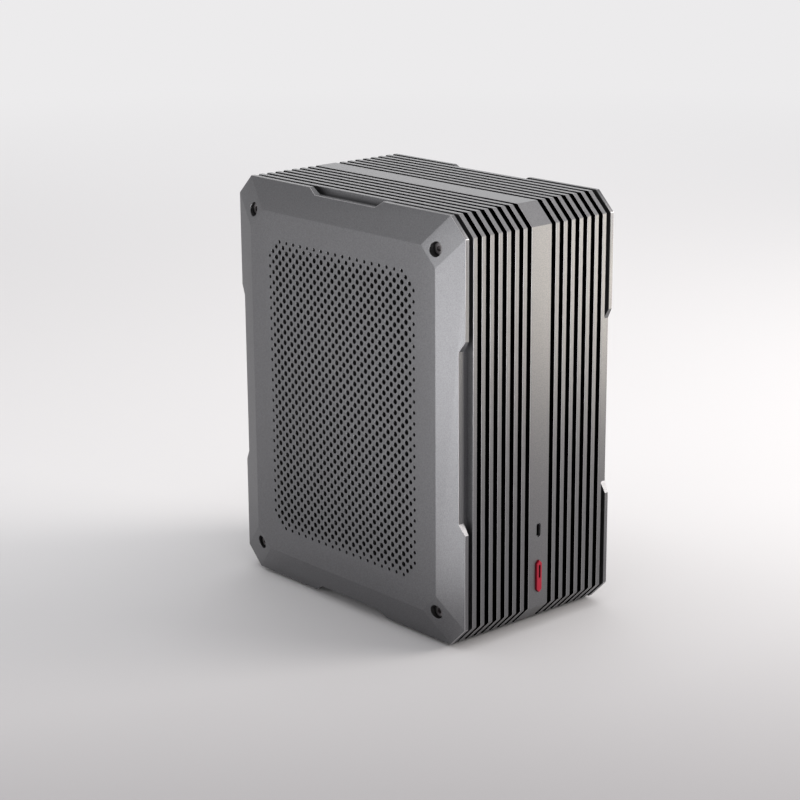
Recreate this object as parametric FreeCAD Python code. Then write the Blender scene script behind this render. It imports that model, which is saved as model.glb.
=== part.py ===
"""Small desktop computer case: a finned eight-sided shell between two bevelled, perforated side panels.

Frame: +Z up, the front faces -Y, the origin is on the floor under the middle of the case.
All sizes are millimetres.
"""
import FreeCAD, Part
import math
import os
from collections import namedtuple

V = FreeCAD.Vector
Screw = namedtuple("Screw", "shank_radius head_radius head_height head_sides socket_radius socket_depth")

# Outline of the shell
case_depth = 220.0
shell_width = 122.5
corner_chamfer = 13.0
foot_height = 2.0

# Finned plates
fin_pitch = 7.0
fin_width = 3.5
fin_height = 5.0
plate_wall = 3.0
band_width = 17.5
edge_break = 0.25

# Side panels
panel_rim = 3.05
bevel_rise = 6.65
bevel_width = 19.7
inner_chamfer = 12.8
panel_land = 9.0
panel_wall = 3.0
panel_pad_margin = 1.0
notch_depth = 4.3
notch_end_run = 6.8
level_notch_half = 35.8
upright_notch_half = 61.8

# Perforated field of the side panels
grille_half_depth = 67.0
grille_half_height = 93.8
grille_columns = 5
grille_rows = 7
grille_hole_width = 12.4

# Screws and their fits
panel_shank_radius = 2.5
panel_head_radius = 4.0
panel_head_height = 2.8
panel_socket_radius = 2.0
panel_socket_depth = 2.0
sheet_shank_radius = 1.5
sheet_head_radius = 3.1
sheet_head_height = 1.8
head_sides = 16
shank_sides = 8
hexagon_sides = 6
panel_screw_inset = 21.1
panel_screw_reach = 13.0
panel_screw_seat = 2.4
panel_counterbore_radius = 4.6
boss_radius = 8.0
thread_reach = 5.0
tip_clearance = 1.0
thread_clearance = 0.05
screw_clearance = 0.25

# Rear panel
rear_floor = 2.0
rear_rim = 3.0
rear_screw_x = 42.0
rear_screw_inset = 22.5
vent_slot_width = 4.0
vent_slot_height = 30.0
vent_slot_count = 4
vent_slot_pitch = 9.0
vent_first_x = 22.0
vent_rise = 8.0

# Mainboard and its tray
board_size = 170.18
board_rear_gap = 1.0
board_lift = 2.0
board_hole_side = 6.35
board_hole_rear_low = 10.16
board_hole_rear_high = 33.02
board_hole_front = 5.08
standoff_height = 6.5
standoff_radius = 3.0
standoff_bore_radius = 1.6
standoff_skirt_radius = 2.2
tray_x = 10.5
tray_sheet = 1.5
tray_flange = 14.0
tray_margin = 3.0
tray_screw_inset = 15.0
tray_screw_fin = 1
tray_tab_gap = 2.9
tray_tab_length = 48.0
tray_window = 74.0
post_clearance = 2.0

# Connector opening and expansion slots
io_height = 158.75
io_width = 44.45
io_below_board = 2.2
io_offset = 5.2
slot_outer_inset = 14.43
slot_pitch = 20.32
slot_width = 13.0
slot_length = 104.0
cover_width = 18.4
cover_sheet = 1.0
cover_margin = 4.0
cover_tab = 12.0

# Power supply bracket
psu_hole_length = 113.0
psu_hole_height = 51.5
psu_hole_edge = 6.0
psu_hole_radius = 1.9
psu_face_inset = 19.25
psu_front_gap = 1.4
psu_low_gap = 1.22
psu_top_gap = 1.0
bracket_sheet = 1.5
bracket_margin = 2.0
bracket_flange = 14.0
bracket_screw_fin = 1
bracket_screw_inset = 20.0
bracket_border = 14.0

# Mains inlet
inlet_x = -14.0
inlet_rise = 23.0
inlet_flange_length = 50.0
inlet_flange_height = 24.0
inlet_flange = 3.0
inlet_flange_slope = 7.6
inlet_body_length = 27.0
inlet_body_height = 19.5
inlet_body_depth = 22.0
inlet_socket_length = 24.0
inlet_socket_height = 16.5
inlet_socket_depth = 16.0
inlet_screw_span = 40.0
inlet_corner = 5.0
inlet_pin_width = 4.0
inlet_pin_thickness = 2.0
inlet_pin_length = 13.0
inlet_pin_spread = 7.0
inlet_pin_offset = 2.0
cutout_clearance = 0.4

# Front port and power button
front_skin = 2.5
pocket_half_width = 6.0
pocket_margin = 3.0
port_rise = 64.7
port_width = 3.3
port_length = 9.0
port_shell_wall = 0.35
port_setback = 0.6
port_clearance = 0.2
port_base = 1.5
tongue_width = 0.7
tongue_length = 6.6
tongue_setback = 1.2
button_rise = 33.6
button_width = 4.3
button_length = 21.5
button_end = 1.95
button_proud = 1.5
button_bevel = 0.3
button_crown = 0.3
button_flange = 1.5
button_lip = 1.6
button_gap = 0.25
button_travel = 0.6
light_width = 1.6
light_length = 8.8
light_rise = 3.4
light_depth = 1.6
light_setback = 0.8
switch_size = 6.0
switch_plunger_radius = 1.6
switch_plunger = 0.5
switch_slack = 0.1
circuit_half_width = 17.5
circuit_sheet = 1.6
circuit_margin = 6.0
circuit_screw_inset = 6.0
circuit_screw_fin = 0

# Feet
foot_length = 30.0
foot_width = 14.0
foot_corner = 4.0
foot_inset_x = 17.5
foot_inset_y = 32.0

# Derived places
panel_screw = Screw(panel_shank_radius, panel_head_radius, panel_head_height, head_sides,
                    panel_socket_radius, panel_socket_depth)
sheet_screw = Screw(sheet_shank_radius, sheet_head_radius, sheet_head_height, hexagon_sides, 0, 0)
plate_thickness = fin_height + plate_wall
post_size = panel_screw_inset + boss_radius
psu_length = psu_hole_length + 2 * psu_hole_edge
psu_height = psu_hole_height + 2 * psu_hole_edge
case_height = (post_size + board_lift + board_size + psu_low_gap + psu_height + psu_top_gap
               + plate_thickness)
half_width = shell_width / 2
half_depth = case_depth / 2
bottom_z = foot_height
top_z = foot_height + case_height
middle_z = (bottom_z + top_z) / 2
fin_gap = fin_pitch - fin_width
fins_each_side = int((half_width - band_width / 2) / fin_pitch)
mitre_slope = math.tan(math.radians(22.5))
front_y = -half_depth
rear_inner_y = half_depth - plate_thickness
rear_outer_y = rear_inner_y + rear_floor
board_rear_y = rear_inner_y - board_rear_gap
board_low_z = bottom_z + post_size + board_lift
board_high_z = board_low_z + board_size
tray_tab_low_z = board_low_z + slot_length + cover_tab + tray_tab_gap
tray_tab_high_z = tray_tab_low_z + tray_tab_length
shell_low_z = bottom_z + plate_thickness
shell_high_z = top_z - plate_thickness
inlet_z = board_high_z + inlet_rise
port_z = bottom_z + port_rise
button_z = bottom_z + button_rise
circuit_y = front_y + plate_thickness
circuit_low_z = bottom_z + post_size + post_clearance
circuit_high_z = port_z + port_length / 2 + pocket_margin + circuit_margin
psu_face_x = half_width - psu_face_inset
psu_mid_z = shell_high_z - psu_top_gap - psu_height / 2
psu_centre_y = front_y + post_size + psu_front_gap + bracket_margin + psu_length / 2


def face_of(corners):
    """Flat face through the given corners."""
    return Part.Face(Part.makePolygon(corners + corners[:1]))


def prism_x(outline, x_low, x_high):
    """Solid of a (y, z) outline between two planes across the width."""
    return face_of([V(x_low, y, z) for y, z in outline]).extrude(V(x_high - x_low, 0, 0))


def prism_y(outline, y_low, y_high):
    """Solid of an (x, z) outline between two planes across the depth."""
    return face_of([V(x, y_low, z) for x, z in outline]).extrude(V(0, y_high - y_low, 0))


def block(x_low, x_high, y_low, y_high, z_low, z_high):
    """Box between six planes."""
    return Part.makeBox(x_high - x_low, y_high - y_low, z_high - z_low, V(x_low, y_low, z_low))


def rod(start, axis, radius, length, sides):
    """Bar with a regular many-sided section from a start point along an axis."""
    side = V(0, 0, 1) if abs(axis.z) < 0.5 else V(1, 0, 0)
    other = axis.cross(side)
    turns = [2 * math.pi * (k + 0.5) / sides for k in range(sides)]
    corners = [start + (side * math.cos(a) + other * math.sin(a)) * radius for a in turns]
    return face_of(corners).extrude(axis * length)


def bore(start, axis, radius, length):
    """Round bar from a start point along an axis."""
    return Part.makeCylinder(radius, length, start, axis)


def sections_solid(rings):
    """Closed solid with flat sides through rings of matching corners."""
    faces = [face_of(rings[0]), face_of(rings[-1])]
    for lower, upper in zip(rings, rings[1:]):
        for k in range(len(lower)):
            m = (k + 1) % len(lower)
            faces.append(face_of([lower[k], lower[m], upper[m], upper[k]]))
    solid = Part.makeSolid(Part.makeShell(faces))
    if solid.Volume < 0:
        solid.reverse()
    return solid


def drill(shape, tools):
    """The shape with every tool cut away."""
    return shape.cut(Part.makeCompound(tools)).removeSplitter()


def join(shapes):
    """Touching shapes as one solid with clean faces."""
    return shapes[0].fuse(shapes[1:]).removeSplitter()


def octagon(inset, leg):
    """The case outline in (y, z), moved inward, with corner cuts of the given leg."""
    y = half_depth - inset
    low = bottom_z + inset
    high = top_z - inset
    return [(leg - y, low), (y - leg, low), (y, low + leg), (y, high - leg),
            (y - leg, high), (leg - y, high), (-y, high - leg), (-y, low + leg)]


def corner_place(side_y, side_z, inward_y, inward_z):
    """A (y, z) place measured inward from one corner of the outline."""
    return side_y * (half_depth - inward_y), middle_z + side_z * (case_height / 2 - inward_z)


def fin_centre(index):
    """Distance of a fin's middle from the middle of the case."""
    return band_width / 2 + fin_gap + fin_width / 2 + index * fin_pitch


def elongated(length, width, end):
    """Upright (x, z) outline with its four corners cut at 45 degrees, about the origin."""
    x = width / 2
    z = length / 2
    return [(-x, end - z), (end - x, -z), (x - end, -z), (x, end - z),
            (x, z - end), (x - end, z), (end - x, z), (-x, z - end)]


def lifted(outline, x, z):
    """An (x, z) outline moved to a place."""
    return [(x + px, z + pz) for px, pz in outline]


def screw_solid(kind, seat, axis, length):
    """Screw whose head sits on the seat and whose shank runs along the axis."""
    head = rod(seat, axis * -1, kind.head_radius, kind.head_height, kind.head_sides)
    body = join([head, rod(seat, axis, kind.shank_radius, length, shank_sides)])
    if kind.socket_radius:
        top = seat - axis * kind.head_height
        body = body.cut(rod(top, axis, kind.socket_radius, kind.socket_depth, hexagon_sides))
    return body


def tapped(kind, start, axis, length):
    """Cutter for a threaded hole."""
    return rod(start, axis, kind.shank_radius + thread_clearance, length, shank_sides)


def cleared(kind, start, axis, length):
    """Cutter for a hole that a screw passes through."""
    return rod(start, axis, kind.shank_radius + screw_clearance, length, shank_sides)


def comb_outline():
    """(x, depth) corners of the finned section: fins, centre band and the wall behind them."""
    ribs = [(-band_width / 2, band_width / 2)]
    for k in range(fins_each_side):
        middle = fin_centre(k)
        ribs.append((middle - fin_width / 2, middle + fin_width / 2))
        ribs.append((-middle - fin_width / 2, fin_width / 2 - middle))
    corners = [(-half_width, fin_height)]
    for left, right in sorted(ribs):
        corners += [(left, fin_height), (left, edge_break), (left + edge_break, 0),
                    (right - edge_break, 0), (right, edge_break), (right, fin_height)]
    corners += [(half_width, fin_height), (half_width, plate_thickness), (-half_width, plate_thickness)]
    return corners


def comb_plate(middle, outward, length):
    """Finned plate on one side of the outline, mitred at both ends.

    middle is the (y, z) middle of its outer face and outward its (y, z) unit normal.
    """
    along = (outward[1], -outward[0])

    def place(depth, run):
        return (middle[0] - outward[0] * depth + along[0] * run,
                middle[1] - outward[1] * depth + along[1] * run)

    end = -length / 2
    section = face_of([V(x, *place(depth, end)) for x, depth in comb_outline()])
    bar = section.extrude(V(0, along[0] * length, along[1] * length))
    short = end + plate_thickness * mitre_slope
    wedge = [place(0, end), place(0, -end), place(plate_thickness, -short), place(plate_thickness, short)]
    return bar.common(prism_x(wedge, -half_width, half_width))


def corner_sides():
    """The four corners of the outline as (y side, z side)."""
    return [(side_y, side_z) for side_y in (-1, 1) for side_z in (-1, 1)]


def rear_screw_places():
    """Seats of the rear panel's screws, on its floor."""
    places = []
    for side_z in (-1, 1):
        z = corner_place(1, side_z, 0, rear_screw_inset)[1]
        places += [V(side * rear_screw_x, rear_outer_y, z) for side in (-1, 1)]
    return places


def panel_screw_places():
    """(y, z) axes of the four screws of a side panel."""
    return [corner_place(sy, sz, panel_screw_inset, panel_screw_inset) for sy, sz in corner_sides()]


def corner_block(side_y, side_z):
    """Finned corner with a post behind it that takes the panel screws."""
    facet_middle = corner_place(side_y, side_z, corner_chamfer / 2, corner_chamfer / 2)
    slant = math.sqrt(0.5)
    facet = comb_plate(facet_middle, (side_y * slant, side_z * slant), corner_chamfer / slant)
    shoulder = corner_chamfer + plate_thickness * (math.sqrt(2) - 1)
    section = [(shoulder, plate_thickness), (post_size, plate_thickness), (post_size, post_size),
               (plate_thickness, post_size), (plate_thickness, shoulder)]
    post = prism_x([corner_place(side_y, side_z, u, w) for u, w in section], -half_width, half_width)
    tools = []
    depth = panel_screw_reach + tip_clearance
    y, z = corner_place(side_y, side_z, panel_screw_inset, panel_screw_inset)
    for side in (-1, 1):
        tools.append(tapped(panel_screw, V(side * half_width, y, z), V(-side, 0, 0), depth))
    if side_y > 0:
        for seat in rear_screw_places():
            tools.append(tapped(sheet_screw, seat, V(0, -1, 0), rear_floor + thread_reach + tip_clearance))
    return drill(join([facet, post]), tools)


def circuit_screw_places():
    """Seats of the two screws of the front circuit board."""
    x = fin_centre(circuit_screw_fin)
    y = circuit_y + circuit_sheet
    return [V(-x, y, circuit_high_z - circuit_screw_inset), V(x, y, circuit_low_z + circuit_screw_inset)]


def front_fin_plate():
    """Front plate with the port slot and the button slot in its band and a pocket behind them."""
    plate = comb_plate((front_y, middle_z), (-1, 0), case_height - 2 * corner_chamfer)
    button_half = button_length / 2 + button_lip
    pocket_low = button_z - button_half - button_gap
    pocket_high = port_z + port_length / 2 + pocket_margin
    pocket = block(-pocket_half_width, pocket_half_width, front_y + front_skin, circuit_y,
                   pocket_low, pocket_high)
    port_slot = port_bar(-port_clearance, front_y, circuit_y)
    opening = elongated(button_length + 2 * button_gap, button_width + 2 * button_gap, button_end)
    button_slot = prism_y(lifted(opening, 0, button_z), front_y, circuit_y)
    tools = [pocket, port_slot, button_slot]
    for seat in circuit_screw_places():
        tools.append(tapped(sheet_screw, seat, V(0, -1, 0), circuit_sheet + thread_reach + tip_clearance))
    return drill(plate, tools)


def level_fin_plate(side_z):
    """Top or bottom finned plate, tapped for what is screwed to it."""
    middle = (0, middle_z + side_z * case_height / 2)
    plate = comb_plate(middle, (0, side_z), case_depth - 2 * corner_chamfer)
    tools = []
    seats, sheet = (bracket_screw_places(), bracket_sheet)
    if side_z < 0:
        seats, sheet = (tray_floor_screw_places(), tray_sheet)
    for seat in seats:
        tools.append(tapped(sheet_screw, seat, V(0, 0, side_z), sheet + thread_reach + tip_clearance))
    return drill(plate, tools)


def grille_holes():
    """(y, z) centres of a diagonal lattice whose outer holes lie along the edges of the field."""
    step_y = grille_half_depth / grille_columns
    step_z = grille_half_height / grille_rows
    return [(i * step_y, middle_z + j * step_z)
            for i in range(-grille_columns, grille_columns + 1)
            for j in range(-grille_rows, grille_rows + 1)
            if (i + j) % 2]


def notch_outlines():
    """(y, z) outlines of the grip notches in the middle of the four edges."""
    outlines = []
    for side in (-1, 1):
        edge = side * half_depth
        floor = side * (half_depth - notch_depth)
        end = upright_notch_half
        outlines.append([(edge, middle_z - end), (floor, middle_z - end + notch_end_run),
                         (floor, middle_z + end - notch_end_run), (edge, middle_z + end)])
        edge = middle_z + side * case_height / 2
        floor = middle_z + side * (case_height / 2 - notch_depth)
        end = level_notch_half
        outlines.append([(-end, edge), (notch_end_run - end, floor), (end - notch_end_run, floor),
                         (end, edge)])
    return outlines


def side_panel():
    """Right side panel: bevelled eight-sided dish, perforated, notched and counterbored."""
    face_x = half_width + panel_rim + bevel_rise
    rim_x = half_width + panel_rim
    outer = [(half_width, edge_break), (half_width + edge_break, 0), (rim_x, 0)]
    rings = [[V(x, y, z) for y, z in octagon(inset, corner_chamfer)] for x, inset in outer]
    rings.append([V(face_x, y, z) for y, z in octagon(bevel_width, inner_chamfer)])
    pad_reach = 2 * panel_screw_inset + math.sqrt(2) * (boss_radius + panel_pad_margin)
    dish_x = face_x - panel_wall
    mouth = octagon(panel_land, pad_reach - 2 * panel_land)
    floor_leg = max(pad_reach - 2 * bevel_width, inner_chamfer)
    floor = octagon(bevel_width, floor_leg)
    dish = sections_solid([[V(half_width, y, z) for y, z in mouth], [V(dish_x, y, z) for y, z in floor]])
    tools = [dish]
    tools += [prism_x(outline, half_width, face_x) for outline in notch_outlines()]
    tools += [rod(V(half_width, y, z), V(1, 0, 0), grille_hole_width / 2, panel_rim + bevel_rise,
                  hexagon_sides) for y, z in grille_holes()]
    for y, z in panel_screw_places():
        seat = V(half_width + panel_screw_seat, y, z)
        tools.append(rod(seat, V(1, 0, 0), panel_counterbore_radius, face_x - half_width, head_sides))
        tools.append(cleared(panel_screw, seat, V(-1, 0, 0), panel_screw_seat))
    return drill(sections_solid(rings), tools)


def panel_screws():
    """Four socket-head screws of the right side panel."""
    length = panel_screw_seat + panel_screw_reach
    seats = [V(half_width + panel_screw_seat, y, z) for y, z in panel_screw_places()]
    return Part.makeCompound([screw_solid(panel_screw, seat, V(-1, 0, 0), length) for seat in seats])


def mirrored(shape):
    """The same shape on the other side of the case."""
    return shape.mirror(V(0, 0, 0), V(1, 0, 0))


def tray_floor_screw_places():
    """Seats of the tray's screws on its bottom flange."""
    x = fin_centre(tray_screw_fin)
    front, rear = tray_ends()
    z = shell_low_z + tray_sheet
    return [V(x, front + tray_screw_inset, z), V(x, rear - tray_screw_inset, z)]


def tray_ends():
    """Front and rear ends of the tray's bottom flange."""
    return board_rear_y - board_size - tray_margin, half_depth - post_size - post_clearance


def tray_tab_screw_places():
    """Seats of the screws that hold the tray's rear tab, on the rear panel's floor."""
    x = tray_x + tray_flange / 2 + tray_sheet / 2
    inset = tray_tab_length / 4
    return [V(x, rear_outer_y, z) for z in (tray_tab_low_z + inset, tray_tab_high_z - inset)]


def board_holes():
    """(y, z) places of the mainboard's four mounting holes."""
    low = board_low_z + board_hole_side
    high = board_high_z - board_hole_side
    front = board_rear_y - board_size + board_hole_front
    return [(board_rear_y - board_hole_rear_low, low), (front, low),
            (board_rear_y - board_hole_rear_high, high), (front, high)]


def motherboard_tray():
    """Folded sheet with a bottom flange, a rear tab and a window behind the processor."""
    front, rear = tray_ends()
    back_x = tray_x + tray_sheet
    notch_z = bottom_z + post_size + post_clearance
    high = board_high_z
    outline = [(front, shell_low_z), (rear, shell_low_z), (rear, notch_z), (rear_inner_y, notch_z),
               (rear_inner_y, high), (front, high)]
    wall = prism_x(outline, tray_x, back_x)
    flange = block(tray_x, tray_x + tray_flange, front, rear, shell_low_z, shell_low_z + tray_sheet)
    tab = block(tray_x, tray_x + tray_flange, rear_inner_y - tray_sheet, rear_inner_y,
                tray_tab_low_z, tray_tab_high_z)
    tools = []
    window_y = board_rear_y - board_size / 2
    window_z = board_low_z + board_size / 2
    half = tray_window / 2
    tools.append(block(tray_x, back_x, window_y - half, window_y + half, window_z - half, window_z + half))
    for seat in tray_floor_screw_places():
        tools.append(cleared(sheet_screw, seat, V(0, 0, -1), tray_sheet))
    for seat in tray_tab_screw_places():
        tools.append(tapped(sheet_screw, seat, V(0, -1, 0), rear_floor + thread_reach))
    for y, z in board_holes():
        tools.append(rod(V(tray_x, y, z), V(1, 0, 0), standoff_skirt_radius + thread_clearance, tray_sheet,
                         shank_sides))
    return drill(join([wall, flange, tab]), tools)


def motherboard_standoffs():
    """Four hexagonal spacers, bored for the mainboard screws, with a press-in skirt through the tray."""
    spacers = []
    for y, z in board_holes():
        tip = V(tray_x - standoff_height, y, z)
        post = rod(tip, V(1, 0, 0), standoff_radius, standoff_height, hexagon_sides)
        skirt = rod(V(tray_x, y, z), V(1, 0, 0), standoff_skirt_radius, tray_sheet, shank_sides)
        hole = bore(tip, V(1, 0, 0), standoff_bore_radius, standoff_height + tray_sheet)
        spacers.append(join([post, skirt]).cut(hole))
    return Part.makeCompound(spacers)


def tray_screws():
    """Screws of the tray: down into the bottom plate and in through the rear panel."""
    down = [screw_solid(sheet_screw, seat, V(0, 0, -1), tray_sheet + thread_reach)
            for seat in tray_floor_screw_places()]
    inward = [screw_solid(sheet_screw, seat, V(0, -1, 0), rear_floor + tray_sheet + tip_clearance)
              for seat in tray_tab_screw_places()]
    return Part.makeCompound(down + inward)


def slot_centres():
    """Distances of the expansion slots from the middle of the case."""
    outer = half_width - slot_outer_inset
    return [outer - slot_pitch, outer]


def slot_cover_screw_place(x):
    """Seat of an expansion cover's screw."""
    z = board_low_z + slot_length + cover_tab / 2
    return V(x, rear_outer_y + cover_sheet, z)


def inlet_screw_places():
    """Seats of the mains inlet's two screws."""
    y = rear_outer_y + inlet_flange
    return [V(inlet_x + side * inlet_screw_span / 2, y, inlet_z) for side in (-1, 1)]


def inlet_outline(length, height, corner):
    """(x, z) outline of the inlet, with its two upper corners cut."""
    x = length / 2
    z = height / 2
    return lifted([(-x, -z), (x, -z), (x, z - corner), (x - corner, z), (corner - x, z), (-x, z - corner)],
                  inlet_x, inlet_z)


def rear_panel():
    """Rear panel: a pan with a deep rim, open for the connectors, slots, inlet and air."""
    half = case_height / 2 - corner_chamfer
    drop = plate_thickness * mitre_slope
    outline = [(half_depth, middle_z - half), (half_depth, middle_z + half),
               (rear_inner_y, middle_z + half - drop), (rear_inner_y, middle_z - half + drop)]
    pan = prism_x(outline, -half_width, half_width)
    inner = half - rear_rim - drop
    hollow = block(rear_rim - half_width, half_width - rear_rim, rear_outer_y, half_depth,
                   middle_z - inner, middle_z + inner)
    io_x = tray_x - standoff_height + io_below_board
    tools = [hollow]
    tools.append(block(io_x - io_width, io_x, rear_inner_y, rear_outer_y,
                       board_low_z + io_offset, board_low_z + io_offset + io_height))
    for x in slot_centres():
        tools.append(block(x - slot_width / 2, x + slot_width / 2, rear_inner_y, rear_outer_y,
                           board_low_z, board_low_z + slot_length))
        seat = slot_cover_screw_place(x)
        tools.append(tapped(sheet_screw, seat, V(0, -1, 0), cover_sheet + rear_floor))
    for k in range(vent_slot_count):
        x = vent_first_x + k * vent_slot_pitch
        low = board_high_z + vent_rise
        tools.append(block(x - vent_slot_width / 2, x + vent_slot_width / 2, rear_inner_y, rear_outer_y,
                           low, low + vent_slot_height))
    clear = 2 * cutout_clearance
    hole = inlet_outline(inlet_body_length + clear, inlet_body_height + clear, inlet_corner)
    tools.append(prism_y(hole, rear_inner_y, rear_outer_y))
    for seat in inlet_screw_places():
        tools.append(tapped(sheet_screw, seat, V(0, -1, 0), inlet_flange + rear_floor))
    for seat in rear_screw_places() + tray_tab_screw_places():
        tools.append(cleared(sheet_screw, seat, V(0, -1, 0), rear_floor))
    return drill(pan, tools)


def rear_panel_screws():
    """Screws from the rear panel into the rear corner blocks."""
    length = rear_floor + thread_reach
    return Part.makeCompound([screw_solid(sheet_screw, seat, V(0, -1, 0), length)
                              for seat in rear_screw_places()])


def slot_cover(x):
    """Blank plate over one expansion slot, with a tongue that drops into the slot."""
    low = board_low_z - cover_margin
    plate = block(x - cover_width / 2, x + cover_width / 2, rear_outer_y, rear_outer_y + cover_sheet,
                  low, board_low_z + slot_length + cover_tab)
    tongue_half = slot_width / 2 - cutout_clearance
    tongue = block(x - tongue_half, x + tongue_half, rear_inner_y, rear_outer_y,
                   board_low_z + cutout_clearance, board_low_z + cover_tab)
    hole = cleared(sheet_screw, slot_cover_screw_place(x), V(0, -1, 0), cover_sheet)
    return drill(join([plate, tongue]), [hole])


def slot_cover_screws():
    """One screw for each expansion cover."""
    length = cover_sheet + rear_floor + tip_clearance
    return Part.makeCompound([screw_solid(sheet_screw, slot_cover_screw_place(x), V(0, -1, 0), length)
                              for x in slot_centres()])


def bracket_screw_places():
    """Seats of the power supply bracket's screws under the top plate."""
    x = fin_centre(fins_each_side - 1 - bracket_screw_fin)
    reach = psu_length / 2 - bracket_screw_inset
    z = shell_high_z - bracket_sheet
    return [V(x, psu_centre_y - reach, z), V(x, psu_centre_y + reach, z)]


def psu_bracket():
    """Folded sheet that hangs from the top plate and carries the power supply by its screw face."""
    x_high = psu_face_x + bracket_sheet
    half = psu_length / 2 + bracket_margin
    low = psu_mid_z - psu_height / 2
    wall = block(psu_face_x, x_high, psu_centre_y - half, psu_centre_y + half, low, shell_high_z)
    flange = block(psu_face_x, psu_face_x + bracket_flange, psu_centre_y - half, psu_centre_y + half,
                   shell_high_z - bracket_sheet, shell_high_z)
    window_half = psu_length / 2 - bracket_border
    window_rise = psu_height / 2 - bracket_border
    tools = [block(psu_face_x, x_high, psu_centre_y - window_half, psu_centre_y + window_half,
                   psu_mid_z - window_rise, psu_mid_z + window_rise)]
    for side_y, side_z in corner_sides():
        y = psu_centre_y + side_y * psu_hole_length / 2
        z = psu_mid_z + side_z * psu_hole_height / 2
        tools.append(bore(V(psu_face_x, y, z), V(1, 0, 0), psu_hole_radius, bracket_sheet))
    for seat in bracket_screw_places():
        tools.append(cleared(sheet_screw, seat, V(0, 0, 1), bracket_sheet))
    return drill(join([wall, flange]), tools)


def psu_bracket_screws():
    """Screws from the bracket up into the top plate."""
    length = bracket_sheet + thread_reach
    return Part.makeCompound([screw_solid(sheet_screw, seat, V(0, 0, 1), length)
                              for seat in bracket_screw_places()])


def power_inlet():
    """Mains inlet with a flange outside the rear panel and an open socket."""
    flange_low = rear_outer_y
    flange = prism_y(elongated_flange(), flange_low, flange_low + inlet_flange)
    body = prism_y(inlet_outline(inlet_body_length, inlet_body_height, inlet_corner),
                   rear_outer_y - inlet_body_depth, rear_outer_y)
    mouth = rear_outer_y + inlet_flange
    socket = prism_y(inlet_outline(inlet_socket_length, inlet_socket_height, inlet_corner),
                     mouth - inlet_socket_depth, mouth)
    tools = [socket]
    for seat in inlet_screw_places():
        tools.append(cleared(sheet_screw, seat, V(0, -1, 0), inlet_flange))
    return drill(join([flange, body]), tools)


def elongated_flange():
    """(x, z) outline of the inlet's flange, pointed towards its two screws."""
    x = inlet_flange_length / 2
    z = inlet_flange_height / 2
    slope = inlet_flange_slope
    return lifted([(-x, -z / 2), (slope - x, -z), (x - slope, -z), (x, -z / 2),
                   (x, z / 2), (x - slope, z), (slope - x, z), (-x, z / 2)], inlet_x, inlet_z)


def power_inlet_pins():
    """Three flat blades on the socket's floor."""
    floor = rear_outer_y + inlet_flange - inlet_socket_depth
    blades = []
    for k in (-1, 0, 1):
        x = inlet_x + k * inlet_pin_spread
        z = inlet_z + (inlet_pin_offset if k == 0 else -inlet_pin_offset)
        blades.append(block(x - inlet_pin_thickness / 2, x + inlet_pin_thickness / 2, floor,
                            floor + inlet_pin_length, z - inlet_pin_width / 2, z + inlet_pin_width / 2))
    return Part.makeCompound(blades)


def power_inlet_screws():
    """Two screws of the mains inlet."""
    length = inlet_flange + rear_floor + tip_clearance
    return Part.makeCompound([screw_solid(sheet_screw, seat, V(0, -1, 0), length)
                              for seat in inlet_screw_places()])


def front_io_board():
    """Circuit board behind the front band."""
    board = block(-circuit_half_width, circuit_half_width, circuit_y, circuit_y + circuit_sheet,
                  circuit_low_z, circuit_high_z)
    holes = [cleared(sheet_screw, seat, V(0, -1, 0), circuit_sheet) for seat in circuit_screw_places()]
    return drill(board, holes)


def front_io_screws():
    """Two screws from the circuit board into fins of the front plate."""
    length = circuit_sheet + thread_reach
    return Part.makeCompound([screw_solid(sheet_screw, seat, V(0, -1, 0), length)
                              for seat in circuit_screw_places()])


def port_bar(inset, y_low, y_high):
    """Upright bar with half-round ends at the port's place, moved inward by the inset."""
    radius = port_width / 2 - inset
    reach = (port_length - port_width) / 2
    bar = block(-radius, radius, y_low, y_high, port_z - reach, port_z + reach)
    ends = [bore(V(0, y_low, port_z + side * reach), V(0, 1, 0), radius, y_high - y_low) for side in (-1, 1)]
    return join([bar] + ends)


def usb_port_shell():
    """Metal tube of the front port, standing on the circuit board."""
    mouth = front_y + port_setback
    return port_bar(0, mouth, circuit_y).cut(port_bar(port_shell_wall, mouth, circuit_y))


def usb_port_tongue():
    """Contact tongue on its base inside the port's tube."""
    floor = circuit_y - port_base
    base = port_bar(port_shell_wall, floor, circuit_y)
    half = tongue_width / 2
    tongue = block(-half, half, front_y + port_setback + tongue_setback, floor,
                   port_z - tongue_length / 2, port_z + tongue_length / 2)
    return join([base, tongue])


def button_back_y():
    """Rear face of the button's flange."""
    return front_y + front_skin + button_gap + button_flange


def power_button():
    """Bevelled button with a retaining flange behind the band and a slot for its light bar."""
    proud = front_y - button_proud
    outline = elongated(button_length, button_width, button_end)
    crown_end = button_end - button_bevel * (2 - math.sqrt(2))
    crown = elongated(button_length - 2 * button_bevel, button_width - 2 * button_bevel, crown_end)
    rings = [[V(x, y, z) for x, z in lifted(points, 0, button_z)]
             for y, points in ((proud, crown), (proud + button_crown, outline),
                               (front_y + front_skin + button_gap, outline))]
    stem = sections_solid(rings)
    lip = elongated(button_length + 2 * button_lip, button_width + 2 * button_lip, button_end)
    flange = prism_y(lifted(lip, 0, button_z), front_y + front_skin + button_gap, button_back_y())
    return join([stem, flange]).cut(light_slot(proud, proud + light_setback + light_depth))


def light_slot(y_low, y_high):
    """Bar-shaped solid in the upper half of the button."""
    z = button_z + light_rise
    half = light_width / 2
    return block(-half, half, y_low, y_high, z - light_length / 2, z + light_length / 2)


def button_light_bar():
    """Light bar seated in the button's slot."""
    front = front_y - button_proud + light_setback
    return light_slot(front, front + light_depth)


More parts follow.
